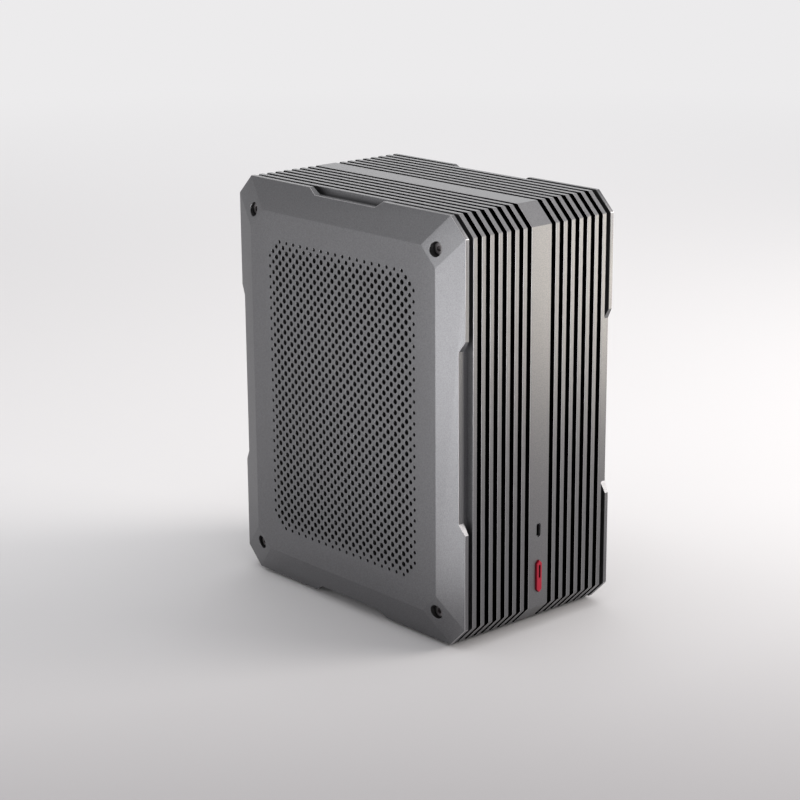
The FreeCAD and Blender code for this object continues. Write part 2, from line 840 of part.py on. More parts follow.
def power_switch():
    """Push switch on the circuit board behind the button, clear of it until it is pressed."""
    tip = button_back_y() + button_travel + switch_slack
    z = circuit_low_z + switch_size / 2
    half = switch_size / 2
    body = block(-half, half, tip + switch_plunger, circuit_y, z - half, z + half)
    plunger = rod(V(0, tip, z), V(0, 1, 0), switch_plunger_radius, switch_plunger, shank_sides)
    return join([body, plunger])


def foot(side_x, side_y):
    """Rubber pad with cut corners under the fins of the bottom plate."""
    x = side_x * (half_width - foot_inset_x)
    y = side_y * (half_depth - foot_inset_y)
    outline = lifted(elongated(foot_length, foot_width, foot_corner), x, y)
    return face_of([V(px, py, 0) for px, py in outline]).extrude(V(0, 0, foot_height))


def sub_parts():
    """Every piece of the case, by name."""
    panel = side_panel()
    screws = panel_screws()
    parts = {
        "top_fin_plate": level_fin_plate(1),
        "bottom_fin_plate": level_fin_plate(-1),
        "front_fin_plate": front_fin_plate(),
        "rear_panel": rear_panel(),
        "rear_panel_screws": rear_panel_screws(),
        "right_side_panel": panel,
        "left_side_panel": mirrored(panel),
        "right_panel_screws": screws,
        "left_panel_screws": mirrored(screws),
        "motherboard_tray": motherboard_tray(),
        "motherboard_standoffs": motherboard_standoffs(),
        "tray_screws": tray_screws(),
        "psu_bracket": psu_bracket(),
        "psu_bracket_screws": psu_bracket_screws(),
        "slot_cover_screws": slot_cover_screws(),
        "power_inlet": power_inlet(),
        "power_inlet_pins": power_inlet_pins(),
        "power_inlet_screws": power_inlet_screws(),
        "front_io_board": front_io_board(),
        "front_io_screws": front_io_screws(),
        "usb_port_shell": usb_port_shell(),
        "usb_port_tongue": usb_port_tongue(),
        "power_switch": power_switch(),
        "power_button": power_button(),
        "button_light_bar": button_light_bar(),
    }
    for name, x in zip(("slot_cover_inner", "slot_cover_outer"), slot_centres()):
        parts[name] = slot_cover(x)
    y_names = {-1: "front", 1: "rear"}
    z_names = {-1: "bottom", 1: "top"}
    x_names = {-1: "left", 1: "right"}
    for side_y, side_z in corner_sides():
        parts[f"corner_block_{y_names[side_y]}_{z_names[side_z]}"] = corner_block(side_y, side_z)
    for side_x in x_names:
        for side_y in y_names:
            parts[f"foot_{y_names[side_y]}_{x_names[side_x]}"] = foot(side_x, side_y)
    return parts


os.makedirs("parts", exist_ok=True)
for name, shape in sub_parts().items():
    shape.exportStep(f"parts/{name}.step")
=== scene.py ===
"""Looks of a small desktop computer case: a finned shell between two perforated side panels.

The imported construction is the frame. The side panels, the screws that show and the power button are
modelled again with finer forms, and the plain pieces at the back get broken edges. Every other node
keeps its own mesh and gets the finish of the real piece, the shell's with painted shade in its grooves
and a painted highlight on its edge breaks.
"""
import logging
import math
from collections.abc import Callable, Iterator
from contextlib import contextmanager
from dataclasses import dataclass
from enum import Enum
from typing import Any

import bpy
from mathutils import Matrix, Vector


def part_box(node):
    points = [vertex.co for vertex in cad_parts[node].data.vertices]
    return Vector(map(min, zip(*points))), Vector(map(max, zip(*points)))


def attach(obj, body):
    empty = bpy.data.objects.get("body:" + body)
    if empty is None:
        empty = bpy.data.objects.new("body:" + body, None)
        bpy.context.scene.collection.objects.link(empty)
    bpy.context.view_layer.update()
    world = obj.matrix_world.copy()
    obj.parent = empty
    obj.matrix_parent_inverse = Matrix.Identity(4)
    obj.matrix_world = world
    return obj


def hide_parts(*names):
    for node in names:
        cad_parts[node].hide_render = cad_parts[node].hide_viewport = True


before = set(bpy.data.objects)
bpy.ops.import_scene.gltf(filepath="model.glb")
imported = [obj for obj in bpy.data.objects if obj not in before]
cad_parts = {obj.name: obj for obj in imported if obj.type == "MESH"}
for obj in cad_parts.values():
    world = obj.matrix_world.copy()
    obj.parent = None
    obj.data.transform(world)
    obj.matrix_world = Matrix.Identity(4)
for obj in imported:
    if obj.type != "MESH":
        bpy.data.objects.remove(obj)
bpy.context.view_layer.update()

MM = 0.001
LOG = logging.getLogger("computer_case")

Test = Callable[[Vector, Vector], bool]
# A normal or an edge counts as along a direction when more than this share of it is.
ALONG = 0.9
# Corners closer than this, in millimetres, are one corner.
SAME_CORNER = 0.001
# Faces that lean from each other by less than this, in degrees, are one flat face.
SAME_PLANE = 0.5


class Pick(Enum):
    """What edit mode selects, as Blender's three select switches."""

    VERTICES = (True, False, False)
    EDGES = (False, True, False)
    FACES = (False, False, True)


class Side(Enum):
    """A side of the case, by the sign of its X."""

    LEFT = -1
    RIGHT = 1


class PanelSlot(Enum):
    """The material slots of a side panel."""

    OUTSIDE = 0
    INSIDE = 1
    EDGE = 2


@dataclass(frozen=True)
class Outline:
    """Eight-sided outline with cut corners, in millimetres about the middle of a side panel."""

    half_depth: float
    half_height: float
    corner: float

    def inset(self, distance: float, corner: float) -> "Outline":
        """The outline moved inward, with a corner cut of its own."""
        return Outline(self.half_depth - distance, self.half_height - distance, corner)


# The outline that the shell and the panels share, and the height of its middle in millimetres.
CASE_OUTLINE = Outline(110.0, 137.5, 13.0)
CASE_MIDDLE = 139.5


# Shaping


def deselect_all() -> None:
    """Leave nothing selected, so that an operator acts on one piece alone."""
    bpy.ops.object.select_all(action="DESELECT")


def take(piece: bpy.types.Object) -> None:
    """Make a piece the only selected and active one.

    Args:
        piece: The piece.
    """
    deselect_all()
    piece.select_set(True)
    bpy.context.view_layer.objects.active = piece


def settled(name: str) -> bpy.types.Object:
    """Name the primitive just added and move its place into its mesh.

    Args:
        name: Name of the piece and its mesh.

    Returns:
        The new piece.
    """
    piece = bpy.context.active_object
    piece.name = name
    piece.data.name = name
    bpy.ops.object.transform_apply(location=True, rotation=True, scale=True)
    return piece


def new_block(name: str, low: Vector, high: Vector) -> bpy.types.Object:
    """Add a block between two corners.

    Args:
        name: Name of the piece.
        low: Lowest corner, in metres.
        high: Highest corner, in metres.

    Returns:
        The new piece.
    """
    deselect_all()
    bpy.ops.mesh.primitive_cube_add(size=1, location=(low + high) / 2, scale=high - low)
    return settled(name)


def new_bar(name: str, start: Vector, end: Vector, radius: float, sides: int) -> bpy.types.Object:
    """Add a round bar along X or Y.

    Args:
        name: Name of the piece.
        start: Middle of one end, in metres.
        end: Middle of the other end.
        radius: Radius in metres.
        sides: Number of flat sides that stand for the round.

    Returns:
        The new piece.
    """
    deselect_all()
    run = end - start
    turn = run.to_track_quat("Z", "Y").to_euler()
    bpy.ops.mesh.primitive_cylinder_add(vertices=sides, radius=radius, depth=run.length,
                                        location=(start + end) / 2, rotation=turn)
    return settled(name)


def everything(place: Vector, normal: Vector) -> bool:
    """A test that selects all of a piece."""
    return True


def facing(direction: tuple[float, float, float]) -> Test:
    """Make a test for faces that look in a direction.

    Args:
        direction: The direction, of length 1.

    Returns:
        The test.
    """
    wanted = Vector(direction)
    return lambda place, normal: normal.dot(wanted) > ALONG


def running(axis: int) -> Test:
    """Make a test for edges that run along an axis.

    Args:
        axis: 0, 1 or 2 for X, Y or Z.

    Returns:
        The test.
    """
    return lambda place, along: abs(along[axis]) > ALONG


def extrude(run: tuple[float, float, float]) -> None:
    """Extrude what is selected in edit mode, by a run in metres."""
    bpy.ops.mesh.extrude_region_move(TRANSFORM_OT_translate={"value": run})


def chamfer(width: float, segments: int = 1) -> None:
    """Bevel the edges that are selected in edit mode, by a width in metres."""
    bpy.ops.mesh.bevel(offset=width, offset_type="OFFSET", segments=segments, affect="EDGES")


@contextmanager
def shaping(piece: bpy.types.Object, pick: Pick, test: Test) -> Iterator[None]:
    """Edit mode on a piece, with the elements that pass a test selected.

    Args:
        piece: The piece to shape.
        pick: Which kind of element is tested.
        test: Gets an element's middle and its normal, or an edge's direction.

    Yields:
        Nothing, while edit mode is on.
    """
    take(piece)
    mesh = piece.data
    bpy.context.tool_settings.mesh_select_mode = pick.value
    for group in (mesh.vertices, mesh.edges, mesh.polygons):
        group.foreach_set("select", [False] * len(group))
    if pick is Pick.VERTICES:
        for vertex in mesh.vertices:
            vertex.select = test(vertex.co, vertex.normal)
    elif pick is Pick.EDGES:
        for edge in mesh.edges:
            a, b = (mesh.vertices[k].co for k in edge.vertices)
            edge.select = test((a + b) / 2, (b - a).normalized())
    else:
        for face in mesh.polygons:
            face.select = test(face.center, face.normal)
    bpy.ops.object.mode_set(mode="EDIT")
    yield
    bpy.ops.object.mode_set(mode="OBJECT")


def apply_modifier(piece: bpy.types.Object, kind: str, **settings: Any) -> None:
    """Add a modifier with its settings and apply it.

    Args:
        piece: The piece to change.
        kind: Blender's name of the modifier.
        **settings: Values of the modifier's own properties.
    """
    take(piece)
    modifier = piece.modifiers.new(kind.lower(), kind)
    for key, value in settings.items():
        setattr(modifier, key, value)
    bpy.ops.object.modifier_apply(modifier=modifier.name)


def carve(piece: bpy.types.Object, cutter: bpy.types.Object) -> None:
    """Cut one closed form out of a piece and delete the cutter.

    Args:
        piece: The piece that loses material.
        cutter: The form that is cut away.
    """
    apply_modifier(piece, "BOOLEAN", operation="DIFFERENCE", object=cutter, solver="MANIFOLD")
    bpy.data.meshes.remove(cutter.data)


def weld(piece: bpy.types.Object, other: bpy.types.Object) -> None:
    """Make two overlapping closed forms one and delete the second.

    Args:
        piece: The piece that grows.
        other: The form that is added.
    """
    apply_modifier(piece, "BOOLEAN", operation="UNION", object=other, solver="MANIFOLD")
    bpy.data.meshes.remove(other.data)


def node_copy(node: str, name: str) -> bpy.types.Object:
    """Copy a node's mesh into a piece of its own, with its loose triangles merged into flat faces.

    Args:
        node: Name of the node, which is left as it is.
        name: Name of the piece.

    Returns:
        The new piece.
    """
    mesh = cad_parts[node].data.copy()
    mesh.name = name
    piece = bpy.data.objects.new(name, mesh)
    bpy.context.scene.collection.objects.link(piece)
    take(piece)
    bpy.ops.mesh.customdata_custom_splitnormals_clear()
    with shaping(piece, Pick.VERTICES, everything):
        bpy.ops.mesh.remove_doubles(threshold=SAME_CORNER * MM)
        bpy.ops.mesh.dissolve_limited(angle_limit=math.radians(SAME_PLANE))
    return piece


def loose_corners(node: str) -> list[list[Vector]]:
    """Take a copy of a node apart and list the corners of each solid in it.

    Args:
        node: Name of the node.

    Returns:
        For each solid, the places of its corners.
    """
    with shaping(node_copy(node, "solids"), Pick.VERTICES, everything):
        bpy.ops.mesh.separate(type="LOOSE")
    parts = list(bpy.context.selected_objects)
    corners = [[vertex.co.copy() for vertex in part.data.vertices] for part in parts]
    for part in parts:
        bpy.data.meshes.remove(part.data)
    return corners


def soften(piece: bpy.types.Object, width: float, segments: int, angle: float, slot: int = -1) -> None:
    """Round the edges of a piece that are sharper than an angle.

    Args:
        piece: The piece to round.
        width: Width of the rounding in metres.
        segments: Steps across the rounding.
        angle: Smallest angle between faces, in degrees, that is rounded.
        slot: Number of the finish on the rounding, or -1 for that of the faces beside it.
    """
    apply_modifier(piece, "BEVEL", width=width, segments=segments, limit_method="ANGLE",
                   angle_limit=math.radians(angle), material=slot)


def smooth(piece: bpy.types.Object, angle: float) -> None:
    """Shade a piece smooth.

    Args:
        piece: The piece.
        angle: Angle in degrees below which an edge is shaded smooth.
    """
    take(piece)
    bpy.ops.object.shade_smooth_by_angle(angle=math.radians(angle))


def moved_copy(piece: bpy.types.Object, move: Matrix) -> bpy.types.Object:
    """Copy a piece, with a mesh of its own.

    Args:
        piece: The pattern.
        move: Move and turn of the copy from the pattern.

    Returns:
        The copy.
    """
    twin = piece.copy()
    twin.data = piece.data.copy()
    twin.data.transform(move)
    bpy.context.scene.collection.objects.link(twin)
    return twin


def copies(piece: bpy.types.Object, places: list[Vector], name: str) -> bpy.types.Object:
    """Copy a modelled piece to several places, each with its own mesh, and join the copies.

    Args:
        piece: The pattern, which is deleted afterwards.
        places: How far each copy is moved from the pattern, in metres.
        name: Name of the joined piece.

    Returns:
        The joined piece.
    """
    made = [moved_copy(piece, Matrix.Translation(place)) for place in places]
    bpy.data.meshes.remove(piece.data)
    return joined(made, name)


def joined(pieces: list[bpy.types.Object], name: str) -> bpy.types.Object:
    """Join pieces into one object.

    Args:
        pieces: The pieces, of which the first is kept.
        name: Name of the result.

    Returns:
        The joined piece.
    """
    take(pieces[0])
    for piece in pieces:
        piece.select_set(True)
    bpy.ops.object.join()
    pieces[0].name = name
    pieces[0].data.name = name
    return pieces[0]


# Finishes


def linear(code: str) -> tuple[float, float, float, float]:
    """Turn an sRGB hex colour into Blender's linear values.

    Args:
        code: Colour such as "7a7a7c".

    Returns:
        Red, green, blue and an alpha of 1.
    """
    parts = [int(code[k:k + 2], 16) / 255 for k in (0, 2, 4)]
    red, green, blue = (c / 12.92 if c <= 0.04045 else ((c + 0.055) / 1.055) ** 2.4 for c in parts)
    return red, green, blue, 1.0


def add_node(tree: bpy.types.NodeTree, kind: str, settings: dict[str, Any] | None = None,
             **inputs: Any) -> bpy.types.Node:
    """Add a node with its settings, and set or link its inputs.

    Args:
        tree: The node tree.
        kind: Blender's type name of the node.
        settings: Values of the node's own properties.
        **inputs: For each input, by its name or "i" and its number, a value or the socket that feeds it.

    Returns:
        The new node.
    """
    node = tree.nodes.new(kind)
    for key, value in (settings or {}).items():
        setattr(node, key, value)
    for key, value in inputs.items():
        socket = node.inputs[int(key[1:])] if key[0] == "i" and key[1:].isdigit() else node.inputs[key]
        if isinstance(value, bpy.types.NodeSocket):
            tree.links.new(value, socket)
        else:
            socket.default_value = value
    return node


@dataclass(frozen=True)
class Finish:
    """A surface with a fine grain: one colour, one gloss and small bumps of a real size."""

    name: str
    colour: str
    roughness: float
    metallic: float = 0.0
    ior: float = 1.5
    grain_mm: float = 0.4
    grain_depth_mm: float = 0.0
    gloss_change: float = 0.0
    speckle: float = 0.0
    coat: float = 0.0
    coat_roughness: float = 0.2
    noise_detail: float = 2.0
    noise_roughness: float = 0.55
    gloss_noise: tuple[float, float] = (0.25, 0.75)
    speckle_noise: tuple[float, float] = (0.3, 0.7)
    speckle_grains: float = 2.0
    speckle_detail: float = 1.0

    def material(self) -> bpy.types.Material:
        """Build the material, if it isn't there yet.

        Returns:
            The material.
        """
        found = bpy.data.materials.get(self.name)
        if found:
            return found
        made = bpy.data.materials.new(self.name)
        made.use_nodes = True
        tree = made.node_tree
        shader = tree.nodes["Principled BSDF"]
        shader.inputs["Base Color"].default_value = linear(self.colour)
        shader.inputs["Roughness"].default_value = self.roughness
        shader.inputs["Metallic"].default_value = self.metallic
        if not self.metallic:
            shader.inputs["IOR"].default_value = self.ior
        shader.inputs["Coat Weight"].default_value = self.coat
        shader.inputs["Coat Roughness"].default_value = self.coat_roughness
        self.grain(tree, shader)
        self.colouring(tree, shader)
        return made

    def grain(self, tree: bpy.types.NodeTree, shader: bpy.types.Node) -> None:
        """Add the grain's bumps and its changes of gloss.

        Args:
            tree: The node tree.
            shader: The surface's shader.
        """
        place = add_node(tree, "ShaderNodeTexCoord")
        # One noise cell is about one grain across, and Object coordinates are metres.
        noise = add_node(tree, "ShaderNodeTexNoise", Vector=place.outputs["Object"],
                         Scale=1 / (self.grain_mm * MM), Detail=self.noise_detail,
                         Roughness=self.noise_roughness)
        if self.gloss_change:
            start, end = self.gloss_noise
            spread = add_node(tree, "ShaderNodeMapRange", Value=noise.outputs["Fac"], i1=start, i2=end,
                              i3=self.roughness - self.gloss_change, i4=self.roughness + self.gloss_change)
            tree.links.new(spread.outputs["Result"], shader.inputs["Roughness"])
        if self.grain_depth_mm:
            bump = add_node(tree, "ShaderNodeBump", Height=noise.outputs["Fac"], Strength=1.0,
                            Distance=self.grain_depth_mm * MM)
            tree.links.new(bump.outputs["Normal"], shader.inputs["Normal"])

    def colouring(self, tree: bpy.types.NodeTree, shader: bpy.types.Node) -> None:
        """Lay the colour, with lighter and darker grains where the finish has them."""
        if self.speckle:
            tree.links.new(self.speckled(tree), shader.inputs["Base Color"])

    def speckled(self, tree: bpy.types.NodeTree) -> bpy.types.NodeSocket:
        """Make the colour lighter and darker from grain to grain.

        Args:
            tree: The node tree.

        Returns:
            The socket of the speckled colour.
        """
        place = add_node(tree, "ShaderNodeTexCoord")
        grains = add_node(tree, "ShaderNodeTexNoise", Vector=place.outputs["Object"],
                          Scale=1 / (self.speckle_grains * self.grain_mm * MM), Detail=self.speckle_detail)
        start, end = self.speckle_noise
        share = add_node(tree, "ShaderNodeMapRange", Value=grains.outputs["Fac"], i1=start, i2=end,
                         i3=1 - self.speckle, i4=1 + self.speckle)
        scaled = add_node(tree, "ShaderNodeVectorMath", {"operation": "SCALE"}, i0=linear(self.colour)[:3],
                          Scale=share.outputs["Result"])
        return scaled.outputs["Vector"]

    def dress(self, *pieces: bpy.types.Object) -> None:
        """Give pieces this finish alone.

        Args:
            *pieces: The pieces.
        """
        for piece in pieces:
            piece.data.materials.clear()
            piece.data.materials.append(self.material())


@dataclass(frozen=True)
class GroovedFinish(Finish):
    """A finish on the finned shell, with painted shade that makes its grooves almost black and a painted
    highlight on the fins' edge breaks.

    The depth below the eight-sided outline tells fin tops from grooves.
    """

    # Painted shade: the near-black colour of the grooves, where little light reaches.
    painted_groove_shade: str = "040404"
    # Painted highlight: the light colour of the fins' edge breaks.
    painted_edge_highlight: str = "d6d4d6"
    highlight_start_mm: float = 0.03
    # Depths below the outline over which the painted shade fades in.
    shade_start_mm: float = 0.10
    shade_full_mm: float = 0.15
    # Outward of this the outermost fin walls stand in the light and get no painted shade.
    outer_wall_mm: float = 57.6
    outline: Outline = CASE_OUTLINE
    middle_mm: float = CASE_MIDDLE

    def colouring(self, tree: bpy.types.NodeTree, shader: bpy.types.Node) -> None:
        """Tell fin tops, edge breaks with their painted highlight and grooves with their painted shade apart
        by the depth below the outline.

        Args:
            tree: The node tree.
            shader: The surface's shader.
        """
        outline = self.outline
        place = add_node(tree, "ShaderNodeTexCoord")
        axes = add_node(tree, "ShaderNodeSeparateXYZ", Vector=place.outputs["Object"])
        across = self.step(tree, "ABSOLUTE", axes.outputs["Y"])
        lifted = self.step(tree, "SUBTRACT", axes.outputs["Z"], self.middle_mm * MM)
        upward = self.step(tree, "ABSOLUTE", lifted)
        reach = (outline.half_depth + outline.half_height - outline.corner) * MM
        both = self.step(tree, "ADD", across, upward)
        slant = self.step(tree, "MULTIPLY", self.step(tree, "SUBTRACT", reach, both), math.sqrt(0.5))
        level = self.step(tree, "SUBTRACT", outline.half_height * MM, upward)
        upright = self.step(tree, "SUBTRACT", outline.half_depth * MM, across)
        depth = self.step(tree, "MINIMUM", self.step(tree, "MINIMUM", level, upright), slant)
        between = self.step(tree, "LESS_THAN", self.step(tree, "ABSOLUTE", axes.outputs["X"]),
                            self.outer_wall_mm * MM)
        depth = self.step(tree, "MULTIPLY", depth, between)
        on_edge = self.step(tree, "GREATER_THAN", depth, self.highlight_start_mm * MM)
        # Painted highlight on the edge breaks.
        tops = add_node(tree, "ShaderNodeMix", {"data_type": "RGBA"}, i0=on_edge,
                        i6=self.speckled(tree), i7=linear(self.painted_edge_highlight))
        # Painted shade in the grooves, deeper than the edge breaks.
        share = add_node(tree, "ShaderNodeMapRange", {"interpolation_type": "SMOOTHSTEP"}, Value=depth,
                         i1=self.shade_start_mm * MM, i2=self.shade_full_mm * MM, i3=0.0, i4=1.0)
        mix = add_node(tree, "ShaderNodeMix", {"data_type": "RGBA"}, i0=share.outputs["Result"],
                       i6=tops.outputs[2], i7=linear(self.painted_groove_shade))
        tree.links.new(mix.outputs[2], shader.inputs["Base Color"])

    @staticmethod
    def step(tree: bpy.types.NodeTree, kind: str, first: Any, second: Any = 0.0) -> bpy.types.NodeSocket:
        """One sum of the depth: the result of an operation on two values or sockets."""
        return add_node(tree, "ShaderNodeMath", {"operation": kind}, i0=first, i1=second).outputs[0]


@dataclass(frozen=True)
class LensFinish(Finish):
    """A clear moulded finish that lets light through."""

    clearness: float = 0.6

    def colouring(self, tree: bpy.types.NodeTree, shader: bpy.types.Node) -> None:
        """Let part of the light through."""
        shader.inputs["Transmission Weight"].default_value = self.clearness


# Bead-blasted aluminium with a grey dyed oxide: soft wide highlights and a grain like fine sand. The
# beads leave dents of about 0.1 mm, drawn at 0.35 mm so that they show.
# On the shell, painted shade makes the grooves almost black and a painted highlight makes the edge breaks
# light.
SHELL = GroovedFinish("blasted_anodised_shell", "757577", 0.42, 1.0, grain_mm=0.35,
                      grain_depth_mm=0.01, gloss_change=0.04, speckle=0.12)
PANEL = Finish("blasted_anodised_panel", "757577", 0.42, 1.0, grain_mm=0.35, grain_depth_mm=0.01,
               gloss_change=0.04, speckle=0.12)
# The broken outer edges, lightened as a painted highlight: brighter lines round every panel.
EDGE = Finish("edge_painted_highlight", "c8c6c8", 0.35, 1.0, grain_mm=0.35, grain_depth_mm=0.004)
# The inside of the panels and the walls of their holes, painted near black as painted shade, since they are
# hardly lit.
PANEL_INSIDE_SHADE = Finish("inside_painted_shade", "0a0a0b", 0.55, 0.0, ior=1.7, grain_mm=0.5,
                      grain_depth_mm=0.01)
# Black-oxide steel: dark, slightly oily, with a dull shine on its edges.
SCREW = Finish("black_oxide_steel", "7c797a", 0.36, 1.0, grain_mm=0.3, grain_depth_mm=0.006,
               gloss_change=0.05)
# Black zinc on the small sheet screws: darker and a little shinier than the oxide.
SHEET_SCREW = Finish("black_zinc_steel", "434243", 0.3, 1.0, grain_mm=0.25, grain_depth_mm=0.004)
# Fine powder coat on folded steel sheet: an even orange-peel of about 0.6 mm.
SHEET = Finish("black_powder_coat", "1c1c1d", 0.5, 0.0, ior=1.52, grain_mm=0.6, grain_depth_mm=0.02)
# Turned brass: warm metal with a bright, slightly worn gloss.
BRASS = Finish("turned_brass", "c9a25a", 0.28, 1.0, grain_mm=0.2, grain_depth_mm=0.004)
# Moulded glass-filled nylon: matte black with a spark-eroded texture.
PLASTIC = Finish("moulded_black_nylon", "151515", 0.55, 0.0, ior=1.53, grain_mm=0.4, grain_depth_mm=0.015)
# Solder mask on a glass-fibre board: dark green and half gloss.
BOARD = Finish("green_solder_mask", "12331f", 0.35, 0.0, ior=1.55, grain_mm=1.5, grain_depth_mm=0.004)
# Drawn stainless steel of the port's tube, dulled by its passivation.
PORT = Finish("drawn_stainless_steel", "8f8f92", 0.3, 1.0, grain_mm=0.25, grain_depth_mm=0.003)
# Red anodised aluminium, finely blasted: a deep satin red that glows on its bevels.
BUTTON = Finish("red_anodised_button", "b5223a", 0.32, 0.7, grain_mm=0.3, grain_depth_mm=0.004, coat=0.15)
# Smoked acrylic light bar, unlit: a very dark red with a half-gloss face.
LENS = LensFinish("smoked_acrylic", "2a0407", 0.3, 0.0, ior=1.45, clearness=0.1)
# Moulded rubber pads: dull and dark.
RUBBER = Finish("moulded_rubber", "1b1b1b", 0.75, 0.0, ior=1.52, grain_mm=0.8, grain_depth_mm=0.02)


# The case


@dataclass
class SidePanel:
    """Bevelled side panel with its true perforation, notches and counterbores. Sizes are millimetres."""

    side: Side
    middle_z: float = CASE_MIDDLE
    inner_x: float = 61.25
    rim: float = 3.05
    bevel_rise: float = 6.65
    bevel_width: float = 19.7
    outline: Outline = CASE_OUTLINE
    face_corner: float = 12.8
    land: float = 9.0
    mouth_corner: float = 36.9
    floor_corner: float = 15.5
    wall: float = 3.0
    dish_start: float = 0.05
    notch_depth: float = 4.3
    notch_end_run: float = 6.8
    level_notch_half: float = 35.8
    upright_notch_half: float = 61.8
    facet_round: float = 0.35
    facet_steps: int = 2
    edge_break: float = 0.5
    edge_angle: float = 40.0
    smooth_angle: float = 25.0
    screw_inset: float = 21.1
    counterbore_radius: float = 4.6
    counterbore_sides: int = 48
    counterbore_break: float = 0.2
    counterbore_seat: float = 2.4
    mouth_slope: float = 0.6
    clearance_radius: float = 2.75
    clearance_sides: int = 24
    half_step: float = 3.533
    columns: int = 20
    rows: int = 28
    diagonal: int = 45
    hole_radii: tuple[float, float, float] = (1.15, 1.45, 1.72)
    hole_flare: float = 0.12
    hole_sides: int = 12
    over: float = 1.0
    near: float = 0.1
    bore_near: float = 0.05
    back_lean: float = -0.2
    hole_lean: float = 0.5
    bore_lean: float = 0.2

    def __post_init__(self) -> None:
        """Work out the levels across the panel."""
        self.rim_x = self.inner_x + self.rim
        self.face_x = self.rim_x + self.bevel_rise
        self.dish_x = self.face_x - self.wall
        self.outward = (self.side.value, 0, 0)
        self.name = f"{self.side.name.lower()}_side_panel"

    def point(self, x: float, y: float, z: float) -> Vector:
        """A place on this side from millimetres: outward, toward the rear and above the middle."""
        return Vector((self.side.value * x, y, self.middle_z + z)) * MM

    def span(self, name: str, x: tuple[float, float], y: tuple[float, float],
             z: tuple[float, float]) -> bpy.types.Object:
        """A block between planes.

        Args:
            name: Name of the piece.
            x: Its two planes outward from the middle of the case, in millimetres.
            y: Its two planes toward the rear.
            z: Its two planes above the middle of the panel.

        Returns:
            The new piece.
        """
        a = self.point(x[0], y[0], z[0])
        b = self.point(x[1], y[1], z[1])
        low = Vector(map(min, a, b))
        high = Vector(map(max, a, b))
        return new_block(name, low, high)

    def tapered(self, name: str, levels: tuple[float, float, float], foot: Outline,
                top: Outline) -> bpy.types.Object:
        """An eight-sided slab whose upper part tapers to a smaller outline.

        Args:
            name: Name of the piece.
            levels: Foot, start of the taper and top, outward from the middle of the case.
            foot: Outline up to the start of the taper.
            top: Outline at the top.

        Returns:
            The new piece.
        """
        base, step, end = levels
        slab = self.span(name, (base, step), (-foot.half_depth, foot.half_depth),
                         (-foot.half_height, foot.half_height))
        with shaping(slab, Pick.EDGES, running(0)):
            chamfer(foot.corner * MM)
        with shaping(slab, Pick.FACES, facing(self.outward)):
            extrude((self.side.value * (end - step) * MM, 0, 0))
        centre = self.point(end, 0, 0)

        def on_top(place: Vector) -> bool:
            """Whether a corner belongs to the top."""
            return abs(place.x - centre.x) < self.near * MM

        def level_edge(place: Vector, _: Vector) -> bool:
            """Whether a corner ends an upper or lower edge of the top."""
            return on_top(place) and abs(place.z - centre.z) > (foot.half_height - self.near) * MM

        def upright_edge(place: Vector, _: Vector) -> bool:
            """Whether a corner ends a front or rear edge of the top."""
            return on_top(place) and abs(place.y) > (foot.half_depth - self.near) * MM

        level = (1, (top.half_depth - top.corner) / (foot.half_depth - foot.corner),
                 top.half_height / foot.half_height)
        upright = (1, top.half_depth / foot.half_depth,
                   (top.half_height - top.corner) / (foot.half_height - foot.corner))
        with shaping(slab, Pick.VERTICES, upright_edge):
            bpy.ops.transform.resize(value=upright, center_override=centre)
        with shaping(slab, Pick.VERTICES, level_edge):
            bpy.ops.transform.resize(value=level, center_override=centre)
        return slab

    def notch_cutters(self) -> list[bpy.types.Object]:
        """Make wedges for the grip notches in the middle of the four edges.

        Returns:
            The four cutters.
        """
        cutters = []
        across = (self.inner_x - self.over, self.face_x + self.over)
        depth = self.notch_depth
        for sign in (-1, 1):
            for half, edge, axis in ((self.level_notch_half, self.outline.half_height, 2),
                                     (self.upright_notch_half, self.outline.half_depth, 1)):
                wide = half + self.notch_end_run
                along = (-wide, wide)
                through = (sign * (edge - depth), sign * (edge + depth))
                y, z = (along, through) if axis == 2 else (through, along)
                cutter = self.span("notch", across, y, z)
                narrow = (half - self.notch_end_run) / wide
                value = (1, narrow, 1) if axis == 2 else (1, 1, narrow)
                inward = (0, 0, -sign) if axis == 2 else (0, -sign, 0)
                with shaping(cutter, Pick.FACES, facing(inward)):
                    bpy.ops.transform.resize(value=value, center_override=self.point(0, 0, 0))
                cutters.append(cutter)
        return cutters

    def screw_places(self) -> list[tuple[float, float]]:
        """Work out where the screws sit.

        Returns:
            For each of the four, its place toward the rear and above the middle.
        """
        y = self.outline.half_depth - self.screw_inset
        z = self.outline.half_height - self.screw_inset
        return [(sy * y, sz * z) for sy in (-1, 1) for sz in (-1, 1)]

    def drill_screw_holes(self, panel: bpy.types.Object) -> None:
        """Cut the counterbores with their broken edges, and the clearance holes under them.

        Args:
            panel: The panel to drill.
        """
        seat = self.inner_x + self.counterbore_seat
        for y, z in self.screw_places():
            bore = new_bar("counterbore", self.point(seat, y, z), self.point(self.face_x + self.over, y, z),
                           self.counterbore_radius * MM, self.counterbore_sides)
            carve(panel, bore)
            hole = new_bar("clearance", self.point(self.inner_x - self.over, y, z),
                           self.point(seat + self.over, y, z), self.clearance_radius * MM,
                           self.clearance_sides)
            carve(panel, hole)
            axis = self.point(0, y, z).yz

            def mouth(place: Vector, along: Vector, axis: Vector = axis) -> bool:
                """Whether an edge belongs to the rim of this counterbore."""
                near = (place.yz - axis).length < (self.counterbore_radius + self.bore_near) * MM
                above_seat = place.x * self.side.value > (seat + self.over) * MM
                return near and above_seat and abs(along.x) < self.mouth_slope

            with shaping(panel, Pick.EDGES, mouth):
                chamfer(self.counterbore_break * MM)

